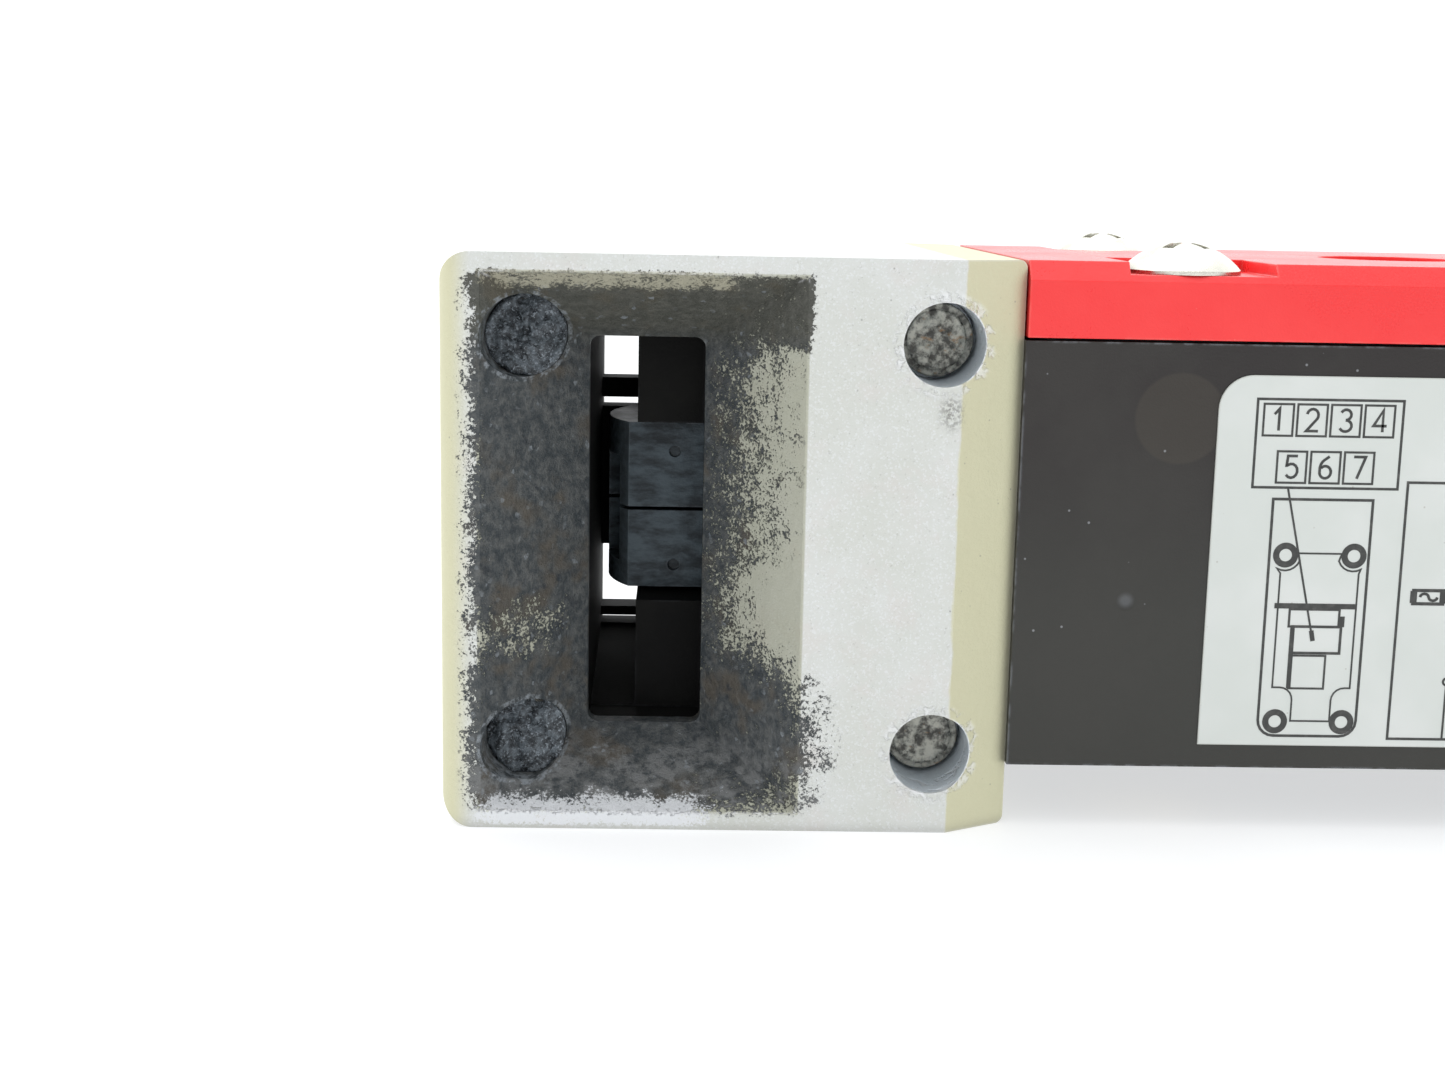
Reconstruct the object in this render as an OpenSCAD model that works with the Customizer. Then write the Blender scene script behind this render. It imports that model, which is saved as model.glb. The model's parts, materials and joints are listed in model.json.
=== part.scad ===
// Tongue-operated safety limit switch: a die-cast guide head with a funnel slot
// on the left end of a moulded housing with a screwed-on lid.
// +X runs from the free end of the head to the cable entry, +Z towards the lid,
// -Y towards the face with the slot and the label.

/* [Head] */
// Side of the cubic guide head
head_size = 42; // [41:0.5:44]
// Width of the tongue slot
slot_w = 8.6; // [7.5:0.1:9]
// Height of the tongue slot
slot_h = 29.5; // [27:0.5:30]
// Depth of the funnel from the rim to the slot
funnel_depth = 7; // [5:0.5:7]
// Spacing of the four long head screws, both ways
head_screw_pitch = 30; // [29.5:0.1:30.5]
// Diameter of the counterbores for the head screws
counterbore_d = 6; // [5.8:0.1:6.2]

/* [Housing] */
// Overall length of the switch
total_l = 125; // [120:1:140]
// Width of the housing and lid
body_w = 38; // [38:0.5:40]
// Height of the housing's underside above the head's underside
body_z0 = 4.7; // [4:0.1:5]
// Height of the parting line between housing and lid
lid_z0 = 36.5; // [36:0.1:37]
// Height of the lid's top
lid_z1 = 42; // [41.8:0.1:42.4]
// Thickness of the housing walls
wall = 3; // [2.6:0.1:3.2]

/* [Fasteners] */
// Spacing of the lid screws along the housing
screw_span_x = 65; // [62:1:66]
// Spacing of the lid screws across the housing
screw_span_y = 29; // [28.6:0.1:29.2]
// Diameter of the cable entry's bore, minor diameter of M20
entry_d = 18.4; // [18.2:0.1:18.6]

/* [Mechanism] */
// Turn of the rotor as the tongue goes in, in degrees
rotor_turn = 50; // [40:5:50]
// Travel of the plunger as the tongue goes in
plunger_travel = 3.2; // [2.6:0.1:3.2]
// Diameter of the plunger
plunger_d = 4; // [3.6:0.1:4]

/* [Hidden] */
$fn = 64;

// Small shared distances
eps = 0.01;
gap = 0.1;
past = 1;
half = head_size / 2;

// Head
hx0 = -total_l / 2;
hx1 = hx0 + head_size;
hz = head_size / 2;
head_wall = 3.5;
front_wall = 8.5;
cav_y = half - front_wall;
edge_r = 2.4;
small_r = 0.6;
chamfer_x = 4.7;
chamfer_y = 2.7;
slot_x = hx0 + 14.8;
slot_x0 = slot_x - slot_w / 2;
slot_x1 = slot_x + slot_w / 2;
slot_z0 = hz - slot_h / 2;
slot_z1 = hz + slot_h / 2;
slot_r = 0.8;
rim_x0 = hx0 + 2.85;
rim_x1 = hx0 + 26.4;
rim_z = 19.8;
rim_past = 0.2;

// Head screws, M3 with low cap heads and a hexagon socket
hs_x0 = hx0 + (head_size - head_screw_pitch) / 2;
hs_x1 = hs_x0 + head_screw_pitch;
hs_z0 = hz - head_screw_pitch / 2;
hs_z1 = hz + head_screw_pitch / 2;
seat_depth = 7.5;
m3_d = 3;
m3_hole_d = 3.1;
m3_clear_d = 3.3;
m3_head_d = 5.5;
m3_head_h = 2;
m3_end = 2;
hex_d = 2.31;
hex_depth = 1.2;

// Rotor and carrier
ax = hx0 + 22.7;
rotor_r = 11.2;
cam_hi = 10.4;
cam_lo = cam_hi - plunger_travel;
pocket_r = 11.9;
pocket_gap = 0.4;
rotor_z0 = 15.2;
rotor_zm = 21.4;
rotor_z1 = 28.4;
rotor_split = 0.25;
rotor_flat_y = -6;
pocket_z0 = rotor_z0 - pocket_gap;
pocket_z1 = rotor_z1 + pocket_gap;
axle_d = 4;
axle_clear_d = 4.1;
carrier_x1 = hx0 + 29.4;
channel_w = 3.5;
channel_rise = 2.4;
channel_lead = 2;
mouth_depth = 3;
rear_web = 3;
// heights of the windows through the web at the channel's back
rear_windows = [[8.7, 9.4], [10.2, 15.8], [27.9, 28.7], [30.4, slot_z1]];

// Housing
bx0 = hx1;
bx1 = total_l / 2;
by = body_w / 2;
corner_r = 1.5;
square_end = 10;
rim_top = lid_z0 - 0.2;
floor_z = body_z0 + wall;
gland_l = 6.5;
gland_recess_y = 9.9;
cav_x0 = bx0 + 4;
cav_x1 = bx1 - 9.5;
neck_x0 = carrier_x1 + gap;
neck_y = cav_y - gap;
screw_x0 = bx0 + 12;
screw_x1 = screw_x0 + screw_span_x;
screw_y = screw_span_y / 2;
boss_r = 4.4;
m4_d = 3.9;
m4_hole_d = 4;
m4_clear_d = 4.4;
m4_hole_l = 11;
m4_screw_l = 9;
insert_d = 7;
insert_l = 8;
insert_bore_d = 5;
entry_z = 20.5;
groove_depth = 0.8;
groove_in = 1;
groove_w = 1;

// Lid
bevel_z = 1.4;
bevel_y = 1.1;
lid_gap = 0.15;
lid_t = 2.4;
notch_z = 41.1;
notch_x0 = 4.6;
notch_x1 = 6;
notch_in = 9.6;
head_d = 8.6;
collar_d = 8;
dimple_x = screw_x0 + 20.5;
dimple_d = 11;
dimple_depth = 0.4;

// Label
label_t = 0.15;
label_x0 = bx0 + 14.2;
label_x1 = label_x0 + 55;
label_z0 = 6.5;
label_z1 = 34.1;
label_r = 2.5;

// Plunger and its bush
axis_z = 21.4;
tip_x = ax + cam_hi + 0.3;
bush_d = 8;
bush_x0 = ax + rotor_r + 0.3;
seal_t = 1.5;
bush_x1 = cav_x0 - seal_t;
bush_bore_d = plunger_d + 0.1;

// Contact block
blk_x0 = bx0 + 15;
blk_x1 = blk_x0 + 42;
blk_y = 11;
blk_z1 = 25.6;
blk_wall = 2;
roof_t = 1.6;
roof_z = blk_z1 - roof_t;
cover_t = 1.6;
ch_x0 = blk_x0 + blk_wall;
ch_x1 = blk_x1 - blk_wall;
ch_y = 8.5;
ch_z0 = 12.4;
post_d = 5;
post_z1 = ch_z0 - cover_t;
pilot_d = 2.1;
bs_in = 2.2;
bs_y = 8.9;
bs_d = 2;
bs_hole_d = 2.4;
bs_head_d = 4;
bs_head_h = 1.8;
column_d = 3.9;
rod_hole_d = plunger_d + 0.6;

// Slider, bridges and contacts
slider_x0 = ch_x0 + 4;
slider_l = 26;
slider_h = 5;
slider_w = 6;
slider_wall = 0.4;
seat_d = 3.2;
window_l = 5.6;
window_pitch = 8;
window_in = 3;
bridge_t = 0.6;
bridge_w = 4;
bridge_l = 15;
button_d = 2.6;
button_h = 0.6;
contact_y = 6;
contact_gap = 0.15;
strip_t = 0.8;
strip_w = 2.6;
spring_x0 = slider_x0 + slider_l;
spring_l = 6;
stop_y = 4;
stop_z = 3;
no_x = slider_x0 + window_in + 2 * window_pitch + window_l - bridge_t;

// Terminals
term_pitch = 5.6;
term_x = blk_x0 + 11;
term_row_gap = 14;
term_z1 = 31;
term_front = 6;
term_back = 2.2;
term_half = 2.2;
term_floor = 1.4;
term_hole_d = 2.7;
clamp_z = blk_z1 + 2.4;
clamp_t = 0.8;
clamp_half = 2.1;
ts_head_d = 3.9;
ts_head_h = 1.6;
ts_d = 2.5;
cross_t = 0.6;
cross_l = 6;
cross_depth = 0.8;

// Earth strap
strap_t = 0.8;
strap_x0 = cav_x0 + 0.2;
strap_y0 = 7.2;
strap_y1 = 9.6;
strap_z0 = 12;
strap_z1 = 30;
strap_step_x = blk_x0 + 5.7;
strap_end_x = term_x - 1.5;
strap_end_z = 27.1;
strap_hole_d = 1.6;

// A rectangle with its four corners rounded to the radius r
module rounded_rect(x0, x1, y0, y1, r) {
    translate([x0 + r, y0]) square([x1 - x0 - 2 * r, y1 - y0]);
    translate([x0, y0 + r]) square([x1 - x0, y1 - y0 - 2 * r]);
    for (x = [x0 + r, x1 - r], y = [y0 + r, y1 - r]) translate([x, y]) circle(r);
}

// A box between two corners
module block(x0, x1, y0, y1, z0, z1) {
    translate([x0, y0, z0]) cube([x1 - x0, y1 - y0, z1 - z0]);
}

// A round rod along Y
module rod_y(x, z, y0, y1, d) {
    translate([x, y0, z]) rotate([-90, 0, 0]) cylinder(h = y1 - y0, d = d);
}

// A round rod along X
module rod_x(y, z, x0, x1, d) {
    translate([x0, y, z]) rotate([0, 90, 0]) cylinder(h = x1 - x0, d = d);
}

// A round rod along Z
module rod_z(x, y, z0, z1, d) {
    translate([x, y, z0]) cylinder(h = z1 - z0, d = d);
}

// A coil spring along X, its wire swept round the axis
function coil_ring(t, r, wire, pitch, sides) = [for (i = [0 : sides - 1])
    let (a = 360 * i / sides, q = r + wire * cos(a))
    [pitch * t / 360 + wire * sin(a), q * cos(t), q * sin(t)]];
module coil_x(x0, x1, y, z, r, wire, turns) {
    sides = 6;
    steps = 12;
    rings = turns * steps;
    pitch = (x1 - x0 - 2 * wire) / turns;
    pts = [for (k = [0 : rings]) each coil_ring(360 * k / steps, r, wire, pitch, sides)];
    sides_f = [for (k = [0 : rings - 1], i = [0 : sides - 1])
        let (j = (i + 1) % sides)
        [k * sides + i, k * sides + j, (k + 1) * sides + j, (k + 1) * sides + i]];
    cap0 = [[for (i = [sides - 1 : -1 : 0]) i]];
    cap1 = [[for (i = [0 : sides - 1]) rings * sides + i]];
    translate([x0 + wire, y, z]) polyhedron(pts, concat(sides_f, cap0, cap1), convexity = 8);
}

// The head's outer block: round at the free end, chamfered at the housing end
module head_block() {
    intersection() {
        translate([0, half, 0]) rotate([90, 0, 0]) linear_extrude(head_size)
            rounded_rect(hx0, hx1, 0, head_size, small_r);
        translate([0, half, 0]) rotate([90, 0, 0]) linear_extrude(head_size) union() {
            rounded_rect(hx0, hx1 - edge_r, 0, head_size, edge_r);
            translate([hx1 - 3 * edge_r, 0]) square([3 * edge_r, head_size]);
        }
        linear_extrude(head_size) union() {
            rounded_rect(hx0, hx1 - 2 * edge_r, -half, half, edge_r);
            polygon([[hx0 + edge_r, -half], [hx1 - chamfer_x, -half],
                [hx1, -half + chamfer_y], [hx1, half - chamfer_y],
                [hx1 - chamfer_x, half], [hx0 + edge_r, half]]);
        }
    }
}

// The four-sided funnel that leads into the slot; side is -1 for the front
module funnel(side) {
    y_rim = side * (half + rim_past);
    y_slot = side * (half - funnel_depth);
    hull() {
        block(rim_x0, rim_x1, y_rim - eps, y_rim + eps, hz - rim_z, hz + rim_z);
        block(slot_x0, slot_x1, y_slot - eps, y_slot + eps, slot_z0, slot_z1);
    }
}

// The slot through the head's front and rear walls
module tongue_slot() {
    translate([0, half + past, 0]) rotate([90, 0, 0]) linear_extrude(head_size + 2 * past)
        rounded_rect(slot_x0, slot_x1, slot_z0, slot_z1, slot_r);
}

module each_head_screw() {
    for (x = [hs_x0, hs_x1], z = [hs_z0, hs_z1]) translate([x, 0, z]) children();
}

module head_casting() {
    color("silver") difference() {
        intersection() {
            head_block();
            block(hx0 - past, hx1 + past, -half - past, cav_y, -past, head_size + past);
        }
        funnel(-1);
        tongue_slot();
        block(hx0 + head_wall, hx1 + past, -cav_y, cav_y + past,
            head_wall, head_size - head_wall);
        each_head_screw() rod_y(0, 0, -half - past, -half + seat_depth, counterbore_d);
        each_head_screw() rod_y(0, 0, -half, cav_y + past, m3_clear_d);
    }
}

module head_rear_plate() {
    color("silver") difference() {
        intersection() {
            head_block();
            block(hx0 - past, hx1 + past, cav_y, half + past, -past, head_size + past);
        }
        funnel(1);
        tongue_slot();
        each_head_screw() rod_y(0, 0, cav_y - past, half + past, m3_hole_d);
    }
}

module head_screws() {
    head_y = -half + seat_depth - m3_head_h;
    color("dimgray") each_head_screw() difference() {
        union() {
            rod_y(0, 0, head_y, head_y + m3_head_h, m3_head_d);
            rod_y(0, 0, head_y + m3_head_h - eps, half - m3_end, m3_d);
        }
        translate([0, head_y - past, 0]) rotate([-90, 0, 0])
            cylinder(h = hex_depth + past, d = hex_d, $fn = 6);
    }
}

// The moulded insert that guides the tongue and holds the rotor's axle
module cam_carrier() {
    cx0 = hx0 + head_wall + gap;
    cy = cav_y - gap;
    cz0 = head_wall + gap;
    cz1 = head_size - head_wall - gap;
    color([0.12, 0.12, 0.13]) difference() {
        block(cx0, carrier_x1, -cy, cy, cz0, cz1);
        // guide channel, its floor sloping up towards the back
        translate([slot_x0, 0, 0]) rotate([90, 0, 90]) linear_extrude(channel_w)
            polygon([[-cy - past, slot_z0], [-cy + channel_lead, slot_z0],
                [cy - rear_web, slot_z0 + channel_rise], [cy - rear_web, slot_z1],
                [-cy - past, slot_z1]]);
        // mouth behind the front slot
        block(slot_x0, slot_x1, -cy - past, -cy + mouth_depth, slot_z0, slot_z1);
        // opening from the mouth to the rotor's flat
        block(slot_x0, slot_x1, -cy, 0, pocket_z0, pocket_z1);
        for (w = rear_windows)
            block(slot_x0, slot_x0 + channel_w, 0, cy + past, w[0], w[1]);
        rod_z(ax, 0, pocket_z0, pocket_z1, 2 * pocket_r);
        rod_z(ax, 0, cz0 - past, cz1 + past, axle_d);
        each_head_screw() rod_y(0, 0, -half, half, m3_clear_d);
    }
}

module rotor_axle() {
    color("gainsboro") rod_z(ax, 0, head_wall + gap, head_size - head_wall - gap, axle_d);
}

// Radius of the rotor's rim at the angle a: a spiral cam faces the plunger, and
// short ramps join its low and high ends to the round rim
cam_end = 66;
rise_end = 92;
fall_start = 320;
fall_end = 344;
function rim_r(a) =
    a < rotor_turn ? cam_hi - plunger_travel * a / rotor_turn :
    a < cam_end ? cam_lo :
    a < rise_end ? cam_lo + (rotor_r - cam_lo) * (a - cam_end) / (rise_end - cam_end) :
    a < fall_start ? rotor_r :
    a < fall_end ? rotor_r - (rotor_r - cam_hi) * (a - fall_start) / (fall_end - fall_start) :
    cam_hi;

// One half of the rotor: a disc with a flat behind the slot, a moulding mark on the
// flat at the height mark_z, and a pocket in its rim for the tongue's bar
module rotor_disc(z0, z1, mark_z) {
    bar_turn = 192;
    bar_depth = 1.6;
    bar_w = 4.8;
    bar_h = 8.4;
    bar_z = hz + 0.3;
    mark_x = slot_x + 2.1;
    mark_d = 0.9;
    mark_depth = 0.35;
    difference() {
        translate([ax, 0, z0]) linear_extrude(z1 - z0)
            polygon([for (a = [0 : 4 : 356]) [rim_r(a) * cos(a), rim_r(a) * sin(a)]]);
        block(ax - rotor_r, ax + rotor_r, -rotor_r - past, rotor_flat_y, z0 - past, z1 + past);
        rod_y(mark_x, mark_z, rotor_flat_y - past, rotor_flat_y + mark_depth, mark_d);
        rod_z(ax, 0, z0 - past, z1 + past, axle_clear_d);
        translate([ax, 0, bar_z]) rotate([0, 0, bar_turn])
            block(rotor_r - bar_depth, rotor_r + past, -bar_w / 2, bar_w / 2,
                -bar_h / 2, bar_h / 2);
    }
}

module rotor_upper() {
    color([0.16, 0.17, 0.2]) rotor_disc(rotor_zm + rotor_split, rotor_z1, rotor_z1 - 2.3);
}

module rotor_lower() {
    color([0.16, 0.17, 0.2]) rotor_disc(rotor_z0, rotor_zm, rotor_z0 + 1.8);
}

// The push rod between the rotor's cam and the contact slider, with a round nose
module plunger() {
    color("gainsboro") union() {
        rod_x(0, axis_z, tip_x + plunger_d / 2, slider_x0, plunger_d);
        translate([tip_x + plunger_d / 2, 0, axis_z]) sphere(d = plunger_d);
    }
}

module plunger_bush() {
    color("goldenrod") difference() {
        rod_x(0, axis_z, bush_x0, bush_x1, bush_d);
        rod_x(0, axis_z, bush_x0 - past, bush_x1 + past, bush_bore_d);
    }
}

module plunger_seal() {
    color("black") difference() {
        rod_x(0, axis_z, bush_x1, cav_x0, bush_d);
        rod_x(0, axis_z, bush_x1 - past, cav_x0 + past, bush_bore_d);
    }
}

module each_lid_screw() {
    for (x = [screw_x0, screw_x1], y = [-screw_y, screw_y]) translate([x, y, 0]) children();
}

module each_block_screw() {
    for (x = [blk_x0 + bs_in, blk_x1 - bs_in], y = [-bs_y, bs_y])
        translate([x, y, 0]) children();
}

// The housing's outline: square at the head, rounded at the cable entry
module body_outline() {
    rounded_rect(bx0, bx1, -by, by, corner_r);
    translate([bx0, -by]) square([square_end, body_w]);
}

module housing() {
    color([0.1, 0.085, 0.08]) difference() {
        union() {
            difference() {
                translate([0, 0, body_z0]) linear_extrude(rim_top - body_z0) body_outline();
                block(cav_x0, cav_x1, -by + wall, by - wall, floor_z, lid_z1);
                block(cav_x1 - past, bx1 - gland_l, -gland_recess_y, gland_recess_y,
                    floor_z, lid_z1);
            }
            each_lid_screw() rod_z(0, 0, body_z0, rim_top, 2 * boss_r);
            // neck inside the head, in two steps so that it stays above the underside
            block(neck_x0, bx0, -neck_y, neck_y, head_wall + gap, head_size - head_wall - gap);
            block(neck_x0, bx0 + past, -neck_y, neck_y, body_z0, rim_top);
            // four posts that the contact block stands on
            each_block_screw() rod_z(0, 0, body_z0 + past, post_z1, post_d);
        }
        block(bx0, bx1, -by, by, rim_top, lid_z1);
        rod_z(ax, 0, pocket_z0, pocket_z1, 2 * pocket_r);
        rod_x(0, axis_z, neck_x0 - past, cav_x0 + past, bush_d);
        each_head_screw() rod_y(0, 0, -half, half, m3_clear_d);
        each_lid_screw() rod_z(0, 0, rim_top - m4_hole_l, rim_top + past, m4_hole_d);
        each_lid_screw() rod_z(0, 0, body_z0 - past, body_z0 + insert_l, insert_d);
        rod_x(0, entry_z, cav_x1, bx1 + past, entry_d);
        each_block_screw() rod_z(0, 0, floor_z, ch_z0, pilot_d);
        gasket_ring(rim_top - groove_depth, rim_top + past);
    }
}

module gasket_ring(z0, z1) {
    outer = groove_in;
    inner = groove_in + groove_w;
    translate([0, 0, z0]) linear_extrude(z1 - z0) difference() {
        rounded_rect(bx0 + outer, bx1 - outer, -by + outer, by - outer, 1);
        rounded_rect(bx0 + inner, bx1 - inner, -by + inner, by - inner, 0.5);
    }
}

module lid_gasket() {
    color("dimgray") gasket_ring(rim_top - groove_depth, lid_z0);
}

module mounting_inserts() {
    color("goldenrod") each_lid_screw() difference() {
        rod_z(0, 0, body_z0, body_z0 + insert_l, insert_d);
        rod_z(0, 0, body_z0 - past, body_z0 + insert_l + past, insert_bore_d);
    }
}

// Side-open notches at the lid's corners that hold the screw heads
module lid_notches() {
    for (side = [0, 1], x = [screw_x0, screw_x1]) mirror([0, side, 0])
        block(x - notch_x0, x + notch_x1, -by - past, -by + notch_in, notch_z, lid_z1 + past);
}

module lid() {
    color([0.85, 0.07, 0.06]) difference() {
        union() {
            difference() {
                intersection() {
                    translate([bx0 + lid_gap, 0, 0]) rotate([90, 0, 90])
                        linear_extrude(bx1 - bx0 - lid_gap)
                        polygon([[-by, lid_z0], [by, lid_z0], [by, lid_z1 - bevel_z],
                            [by - bevel_y, lid_z1], [-by + bevel_y, lid_z1],
                            [-by, lid_z1 - bevel_z]]);
                    translate([0, by, 0]) rotate([90, 0, 0]) linear_extrude(body_w)
                        polygon([[bx0, lid_z0], [bx1, lid_z0], [bx1, lid_z1 - bevel_z],
                            [bx1 - bevel_y, lid_z1], [bx0, lid_z1]]);
                    translate([0, 0, lid_z0]) linear_extrude(lid_z1 - lid_z0) body_outline();
                }
                block(cav_x0 + past, cav_x1 - past, -by + wall, by - wall,
                    lid_z0 - past, lid_z1 - lid_t);
            }
            // collars that carry the screw heads down to the gasket
            each_lid_screw() rod_z(0, 0, lid_z0, lid_z1 - past, collar_d);
        }
        lid_notches();
        each_lid_screw() rod_z(0, 0, lid_z0 - past, lid_z1 + past, m4_clear_d);
        rod_z(dimple_x, 0, lid_z1 - dimple_depth, lid_z1 + past, dimple_d);
    }
}

// Pan-head screws with a cross recess
module lid_screws() {
    dome_r = 5.6;
    dome_h = 2.3;
    recess_l = 4.2;
    recess_w = 0.9;
    recess_z = notch_z + 0.7;
    color("gainsboro") each_lid_screw() difference() {
        union() {
            intersection() {
                rod_z(0, 0, notch_z, notch_z + dome_h, head_d);
                translate([0, 0, notch_z + dome_h - dome_r]) sphere(r = dome_r);
            }
            rod_z(0, 0, rim_top - m4_screw_l, notch_z + dome_h / 4, m4_d);
        }
        for (a = [45, 135]) rotate([0, 0, a])
            block(-recess_l / 2, recess_l / 2, -recess_w / 2, recess_w / 2,
                recess_z, recess_z + dome_h);
    }
}

// Film on the front face, its lower corners square
module label() {
    color([0.86, 0.88, 0.87]) translate([0, -by, 0]) rotate([90, 0, 0])
        linear_extrude(label_t) union() {
            translate([label_x0, label_z0]) square([label_x1 - label_x0, 2 * label_r]);
            rounded_rect(label_x0, label_x1, label_z0 + label_r, label_z1, label_r);
        }
}

// The moulded block that holds the contacts, open underneath
module contact_base() {
    color([0.2, 0.2, 0.22]) difference() {
        union() {
            difference() {
                block(blk_x0, blk_x1, -blk_y, blk_y, ch_z0, blk_z1);
                block(ch_x0, ch_x1, -ch_y, ch_y, ch_z0 - past, roof_z);
            }
            // corner columns round the block screws
            each_block_screw() rod_z(0, 0, ch_z0, blk_z1, column_d);
        }
        rod_x(0, axis_z, blk_x0 - past, ch_x0 + past, rod_hole_d);
        each_block_screw() rod_z(0, 0, ch_z0 - past, blk_z1 + past, bs_hole_d);
        each_terminal() rod_z(0, 0, blk_z1 - 3, blk_z1 + past, term_hole_d);
    }
}

module contact_cover() {
    color([0.75, 0.72, 0.62]) difference() {
        block(blk_x0, blk_x1, -blk_y, blk_y, ch_z0 - cover_t, ch_z0);
        each_block_screw() rod_z(0, 0, ch_z0 - 2 * cover_t, ch_z0 + past, bs_hole_d);
    }
}

function window_x(i) = slider_x0 + window_in + i * window_pitch;
module contact_slider() {
    z0 = axis_z - slider_h / 2;
    color("ivory") difference() {
        block(slider_x0, slider_x0 + slider_l, -slider_w / 2, slider_w / 2, z0, z0 + slider_h);
        for (i = [0 : 2])
            block(window_x(i), window_x(i) + window_l, -slider_w, slider_w,
                z0 + slider_wall, z0 + slider_h - slider_wall);
        rod_x(0, axis_z, spring_x0 - past, spring_x0 + past, seat_d);
    }
}

// A round silver button on a face at x; dir is the way it stands out
module button(x, y, dir) {
    x_out = x + dir * button_h;
    x_in = x - dir * eps;
    rod_x(y, axis_z, min(x_out, x_in), max(x_out, x_in), button_d);
}

// A bridge with a button at each end
module bridge(x, dir) {
    block(x, x + bridge_t, -bridge_l / 2, bridge_l / 2, axis_z - bridge_w / 2,
        axis_z + bridge_w / 2);
    for (y = [-contact_y, contact_y]) button(dir < 0 ? x : x + bridge_t, y, dir);
}

module nc_bridges() {
    color("peru") for (i = [0, 1]) bridge(window_x(i), -1);
}

module no_bridge() {
    color("peru") bridge(no_x, 1);
}

module bridge_springs() {
    coil_r = 1.3;
    wire = 0.2;
    turns = 4;
    color("silver") {
        for (i = [0, 1]) coil_x(window_x(i) + bridge_t, window_x(i) + window_l,
            0, axis_z, coil_r, wire, turns);
        coil_x(window_x(2), no_x, 0, axis_z, coil_r, wire, turns);
    }
}

module return_spring() {
    coil_r = 1.9;
    wire = 0.25;
    turns = 5;
    color("silver") coil_x(spring_x0, spring_x0 + spring_l, 0, axis_z, coil_r, wire, turns);
}

module spring_stop() {
    color([0.2, 0.2, 0.22]) block(spring_x0 + spring_l, ch_x1, -stop_y, stop_y,
        axis_z - stop_z, roof_z);
}

// Fixed contacts: a strip with a silver button, two for each bridge
module fixed_contact(x, y, dir) {
    x0 = dir < 0 ? x : x - strip_t;
    block(x0, x0 + strip_t, y - strip_w / 2, y + strip_w / 2, axis_z - bridge_w / 2, roof_z);
    button(x, y, dir);
}

module nc_fixed_contacts() {
    reach = 2 * button_h + contact_gap + plunger_travel;
    color("goldenrod") for (i = [0, 1], y = [-contact_y, contact_y])
        fixed_contact(window_x(i) - reach, y, 1);
}

module no_fixed_contacts() {
    reach = 2 * button_h + contact_gap;
    color("goldenrod") for (y = [-contact_y, contact_y])
        fixed_contact(no_x + bridge_t + reach, y, -1);
}

// Seven terminals: a row of four and a row of three
module each_terminal() {
    for (row = [0, 1], k = [0 : 3 - row])
        translate([term_x + term_row_gap * row, (k - (3 - row) / 2) * term_pitch, 0])
            children();
}

module terminal_block() {
    shoulder = 5;
    row_x = [for (row = [0, 1]) term_x - shoulder + term_row_gap * row];
    row_y = [for (row = [0, 1]) blk_y - row * term_pitch / 2];
    color([0.24, 0.25, 0.27]) difference() {
        for (row = [0, 1])
            block(row_x[row], row_x[row] + 2 * shoulder, -row_y[row], row_y[row],
                blk_z1, term_z1);
        each_terminal() block(-term_front, term_back, -term_half, term_half,
            blk_z1 + term_floor, term_z1 + past);
        each_terminal() rod_z(0, 0, blk_z1 - past, term_z1, term_hole_d);
    }
}

module terminal_clamps() {
    color("khaki") each_terminal() difference() {
        block(-clamp_half, clamp_half, -clamp_half, clamp_half, clamp_z, clamp_z + clamp_t);
        rod_z(0, 0, clamp_z - past, clamp_z + clamp_t + past, term_hole_d);
    }
}

// A cheese-head screw with a straight slot, its head standing on the height z
module slotted_screw(z, z_tip, d, cheese_d, cheese_h) {
    difference() {
        union() {
            rod_z(0, 0, z, z + cheese_h, cheese_d);
            rod_z(0, 0, z_tip, z + gap, d);
        }
        block(-cross_l / 2, cross_l / 2, -cross_t / 2, cross_t / 2,
            z + cheese_h - cross_depth, z + cheese_h + past);
    }
}

module terminal_screws() {
    color("gainsboro") each_terminal()
        slotted_screw(clamp_z + clamp_t, roof_z + gap, ts_d, ts_head_d, ts_head_h);
}

module block_screws() {
    color("gainsboro") each_block_screw()
        slotted_screw(blk_z1, floor_z, bs_d, bs_head_d, bs_head_h);
}

// Strip from a plate behind the head to the earth terminal, over the block's screw
module earth_strap() {
    plate_y1 = 12;
    color("peru") difference() {
        union() {
            block(strap_x0, strap_x0 + strap_t, strap_y0, plate_y1, strap_z0, strap_z1);
            block(strap_x0, strap_step_x, strap_y0, strap_y1, strap_z1 - strap_t, strap_z1);
            block(strap_step_x - strap_t, strap_step_x, strap_y0, strap_y1,
                strap_end_z, strap_z1);
            block(strap_step_x - strap_t, strap_end_x, strap_y0, strap_y1,
                strap_end_z, strap_end_z + strap_t);
        }
        rod_x((strap_y0 + plate_y1) / 2, strap_z0 + 6, strap_x0 - past,
            strap_x0 + past, 2 * strap_hole_d);
    }
}

head_casting();
head_rear_plate();
head_screws();
cam_carrier();
rotor_axle();
rotor_upper();
rotor_lower();
plunger();
plunger_bush();
plunger_seal();
housing();
mounting_inserts();
lid();
lid_gasket();
lid_screws();
label();
contact_base();
contact_cover();
contact_slider();
nc_bridges();
no_bridge();
bridge_springs();
return_spring();
spring_stop();
nc_fixed_contacts();
no_fixed_contacts();
terminal_block();
terminal_clamps();
terminal_screws();
block_screws();
earth_strap();
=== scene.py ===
"""Looks for a tongue-operated safety limit switch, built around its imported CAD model.

Lengths are in millimetres and turned into metres where they meet Blender.
+X runs from the head's free end to the cable entry, +Z to the lid, -Y to the label.
"""

import json
import math

import bmesh
import bpy
from mathutils import Matrix, Vector, noise


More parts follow.
